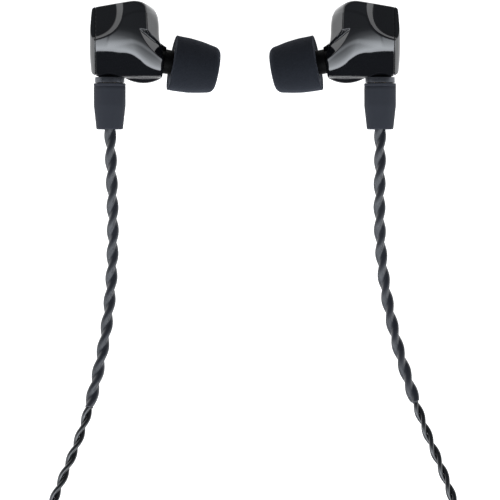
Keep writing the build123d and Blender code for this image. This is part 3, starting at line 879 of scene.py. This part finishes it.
TIP_BACK, TIP_FRONT = 0.85, 11.3
TIP_BACK_R, TIP_FRONT_R = 6.25, 5.05
CORE_R, CORE_FRONT_R, MOUTH_R, CORE_STEP = 3.1, 2.6, 2.0, 5.3
side_run = np.linspace(0, 1, 16)[1:-3]
tip_profile = rounded(
    [(TIP_BACK, CORE_R), (TIP_BACK, TIP_BACK_R)]
    + [(TIP_BACK + (TIP_FRONT - TIP_BACK) * t,
        TIP_BACK_R + (TIP_FRONT_R - TIP_BACK_R) * t + 0.34 * math.sin(math.pi * t) ** 1.3) for t in side_run]
    + [(TIP_FRONT, TIP_FRONT_R), (TIP_FRONT, MOUTH_R),
       (TIP_FRONT - 1, MOUTH_R), (TIP_FRONT - 1, CORE_FRONT_R),
       (CORE_STEP, CORE_FRONT_R), (CORE_STEP, CORE_R)],
    {1: 0.14, len(side_run) + 2: 1.75, len(side_run) + 3: 0.35})
# the back face is dished a little
tip_profile = divided(tip_profile, 0.35)
tip_profile = [(a + 0.35 * max(0.0, math.sin(math.pi * (r - CORE_R) / (TIP_BACK_R - CORE_R)))
                if a < TIP_BACK + 0.01 else a, r) for a, r in tip_profile]
tip_verts, tip_faces = closed_lathe(tip_profile, NOZZLE_ROOT, NOZZLE_AXIS, 160, foam_wobble)

ring_profile = rounded([(-1.1, 2.45), (-1.1, 2.78), (0.95, 2.72), (0.95, 2.45)], {1: 0.1, 2: 0.12})
ring_verts, ring_faces = closed_lathe(ring_profile, NOZZLE_ROOT, NOZZLE_AXIS)

# barrel: measured down from its top edge, along -Y
BARREL_TOP, BARREL_TAPER, BARREL_BOTTOM = 4.1, 9.1, 14.5
barrel_profile = rounded(
    [(8.2, 1.45), (BARREL_TOP, 1.45), (BARREL_TOP, 3.6), (4.72, 3.6), (4.78, 3.53), (4.84, 3.6),
     (BARREL_TAPER, 3.6), (BARREL_BOTTOM, 3.0), (BARREL_BOTTOM, 1.41), (8.2, 1.41)],
    {2: 0.14, 6: 1.2, 7: 0.28, 8: 0.12})
barrel_verts, barrel_faces = closed_lathe(divided(barrel_profile, 0.8), (PLUG_X, 0, PLUG_Z), (0, -1, 0))
collar_profile = rounded([(2.7, 2.25), (2.7, 3.35), (3.98, 3.35), (3.98, 2.25)], {1: 0.12, 2: 0.12})
collar_verts, collar_faces = closed_lathe(collar_profile, (PLUG_X, 0, PLUG_Z), (0, -1, 0))

for side in SIDES:
    tip = put(side + "_foam_ear_tip", side, tip_verts, tip_faces, "memory_foam", side + "_ear_tip",
              side + "_foam_tip")
    put(side + "_nozzle_ring", side, ring_verts, ring_faces, "nozzle_plastic", side + "_earpiece")
    put(side + "_barrel", side, barrel_verts, barrel_faces, "soft_barrel", "cable",
        side + "_connector_barrel")
    put(side + "_socket_collar", side, collar_verts, collar_faces, "dark_chrome", side + "_earpiece",
        side + "_collar")

# =====================================================================
# Woven mesh in the nozzle, and the tie round the coil
# =====================================================================
MESH_AT, MESH_R, WIRE_R, WIRE_GAP = 4.68, 1.68, 0.045, 0.24


def woven_mesh():
    """Two sets of waved wires across the nozzle's mouth."""
    u, v = axis_frame(NOZZLE_AXIS)
    centre = NOZZLE_ROOT + NOZZLE_AXIS * MESH_AT
    verts, faces = [], []
    count = int(MESH_R / WIRE_GAP)
    for across, run in ((u, v), (v, u)):
        for n in range(-count, count + 1):
            half = math.sqrt(MESH_R**2 - (n * WIRE_GAP) ** 2)
            t = np.linspace(-half, half, max(6, int(half / 0.03)))
            sign = (1 if across is u else -1) * (-1) ** n
            lift = sign * WIRE_R * np.cos(math.pi * t / WIRE_GAP)
            line = centre + t[:, None] * run + n * WIRE_GAP * across + lift[:, None] * NOZZLE_AXIS
            faces += grid_faces(len(t), 5, True, start=len(verts))
            verts += tube(line, WIRE_R, 5).tolist()
    return np.array(verts), faces


mesh_verts, mesh_faces = woven_mesh()
for side in SIDES:
    put(side + "_nozzle_screen", side, mesh_verts, mesh_faces, "steel_mesh", side + "_earpiece",
        side + "_nozzle_mesh")

TIE_THICK, TIE_CORNER, TIE_LAP, TIE_RINGS = 0.5, 1.7, 1.5, 150
TIE_DIP, TIE_WAVER, TIE_SINK = 0.10, 0.012, 0.06
# the strap's section: across its width and out through its thickness, from -1 to 1
TIE_SECTION = [(-1, -1), (-1, 0.4), (-0.96, 1), (-0.5, 1), (0, 1), (0.5, 1),
               (0.96, 1), (1, 0.4), (1, -1), (0.5, -1), (0, -1), (-0.5, -1)]


def tie_loop(half_y, half_z):
    """Evenly spaced points (Y, Z) once round the turns, with the way out at each and its place along."""
    y, z = half_y - TIE_CORNER, half_z - TIE_CORNER
    seam = (half_y, TIE_LAP - z)
    points = [seam]
    for quarter, (cy, cz) in enumerate(((y, z), (-y, z), (-y, -z), (y, -z))):
        for turn in np.linspace(quarter, quarter + 1, 9) * math.pi / 2:
            points.append((cy + TIE_CORNER * math.cos(turn), cz + TIE_CORNER * math.sin(turn)))
    points = np.array(points + [seam])
    along = np.r_[0, np.cumsum(np.linalg.norm(np.diff(points, axis=0), axis=1))]
    even = np.linspace(0, along[-1], TIE_RINGS)
    loop = np.stack([np.interp(even, along, points[:, c]) for c in range(2)], 1)
    heading = np.gradient(loop, axis=0)
    heading /= np.linalg.norm(heading, axis=1)[:, None]
    return loop, np.stack([heading[:, 1], -heading[:, 0]], 1), even


def tie_mesh():
    """The strap, pulled in a little between the turns that it lies on."""
    low, high = (np.array(c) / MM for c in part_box("cable_tie"))
    middle, (width, deep, tall) = (low + high) / 2, high - low
    loop, outward, even = tie_loop((deep - TIE_THICK) / 2, (tall - TIE_THICK) / 2)
    verts = []
    for place, out, along in zip(loop, outward, even):
        dip = TIE_DIP * math.cos(along * 2 * math.pi / TURN_GAP)
        half = width / 2 * (1 - TIE_WAVER * math.sin(along * 1.9))
        for across, through in TIE_SECTION:
            reach = through * TIE_THICK * 0.45 + dip * (1 - across**2) * 0.6 - TIE_SINK
            y, z = place + out * reach
            verts.append((middle[0] + across * half, middle[1] + y, middle[2] + z))
    return verts, grid_faces(TIE_RINGS, len(TIE_SECTION), True)


tie = attach(new_object("hook_and_loop_tie", *tie_mesh(), [MATS["tie_fabric"]]), "cable", "tie_fabric",
             "cable_tie")

# =====================================================================
# Each leg's pieces, taken out of the table of legs; nothing more is made of them
# =====================================================================
for side in SIDES:
    pair, sleeve, line, along = legs[side]

# =====================================================================
# Room: pale surface and soft studio light
# =====================================================================
FLOOR_HALF = 20000
FLOOR_CORNERS = [(x * FLOOR_HALF, y * FLOOR_HALF, 0) for x, y in ((-1, -1), (1, -1), (1, 1), (-1, 1))]
floor = new_object("floor", FLOOR_CORNERS, [[0, 1, 2, 3]], smooth=False)
floor_mat, _, _, floor_shader = material("floor_white", (0.42, 0.42, 0.42), 0.9, specular=0.1)
floor_shader.inputs["Emission Color"].default_value = (1, 1, 1, 1)
floor_shader.inputs["Emission Strength"].default_value = 1.15
floor.data.materials.append(floor_mat)

bpy.context.scene.view_settings.view_transform = "Standard"
world = bpy.data.worlds.new("studio")
bpy.context.scene.world = world
world.use_nodes = True
sky_nodes, sky_links = world.node_tree.nodes, world.node_tree.links


def sky_math(operation, *sources):
    """A step of arithmetic on the sky's direction; a source is a socket or a number."""
    node = sky_nodes.new("ShaderNodeMath")
    node.operation = operation
    for socket, source in zip(node.inputs, sources):
        if isinstance(source, float):
            socket.default_value = source
        else:
            sky_links.new(source, socket)
    return node.outputs["Value"]


SIDE_REACH = 0.28           # how much further out the box reaches at its ends
BOX_FAR = -2.0              # where the ramp starts: twice as far out as it is high
SKY_STRENGTH = 8.0
SKY_TINT = (0.93, 0.98, 1.04)
# brightness from BOX_FAR (0) to straight above (1)
BOX_STOPS = [(0.0, 0.03), (0.27, 0.03), (0.30, 6.4), (0.42, 7.6), (0.62, 4.6), (0.80, 1.1), (0.90, 0.28),
             (1.0, 0.16)]

direction = sky_nodes.new("ShaderNodeTexCoord")
split = sky_nodes.new("ShaderNodeSeparateXYZ")
sky_links.new(direction.outputs["Generated"], split.inputs["Vector"])
towards_x, towards_y, towards_z = (split.outputs[axis] for axis in "XYZ")

# a long soft box towards -Y, brighter to its far edge, where it stops short; dark above it
height = sky_math("MULTIPLY_ADD", sky_math("ABSOLUTE", towards_x), SIDE_REACH, towards_z)
lean = ramp(sky_nodes, sky_links, sky_math("DIVIDE", towards_y, height), 0.0, 1.0, BOX_FAR, 0.0)
box = sky_nodes.new("ShaderNodeValToRGB")
while len(box.color_ramp.elements) < len(BOX_STOPS):
    box.color_ramp.elements.new(0.5)
for stop, (place, level) in zip(box.color_ramp.elements, BOX_STOPS):
    stop.position = place
    stop.color = (*(level / SKY_STRENGTH * tint for tint in SKY_TINT), 1)
sky_links.new(lean, box.inputs["Fac"])

# and a pale glow low down, all round but towards -Y, and towards +X and +Y together
low = ramp(sky_nodes, sky_links, towards_z, 0.0, 0.2, 0.34, 0.12)
turned = ramp(sky_nodes, sky_links, towards_y, 0.0, 1.0, -0.55, -0.2)
gap = ramp(sky_nodes, sky_links, sky_math("ADD", towards_x, towards_y), 0.0, 1.0, 1.25, 1.05)
glow = sky_math("MULTIPLY", sky_math("MULTIPLY", low, turned), gap)
both = sky_nodes.new("ShaderNodeMix")
both.data_type = "RGBA"
both.blend_type = "ADD"
both.inputs["Factor"].default_value = 1.0
sky_links.new(box.outputs["Color"], both.inputs["A"])
sky_links.new(glow, both.inputs["B"])
sky_links.new(both.outputs["Result"], sky_nodes["Background"].inputs["Color"])
sky_nodes["Background"].inputs["Strength"].default_value = SKY_STRENGTH

# general light for the surface and the matte pieces, with no reflection of its own; in metres and watts
fill_data = bpy.data.lights.new("fill", "AREA")
fill_data.shape = "RECTANGLE"
fill_data.size, fill_data.size_y = 2.4, 1.6
fill_data.energy = 5
fill = bpy.data.objects.new("fill", fill_data)
fill.location = (0, -1.2, 1.6)
fill.rotation_mode = "QUATERNION"
fill.rotation_quaternion = (Vector((0, -0.05, 0)) - fill.location).to_track_quat("-Z", "Y")
fill.visible_camera = False
fill.visible_glossy = False
bpy.context.scene.collection.objects.link(fill)
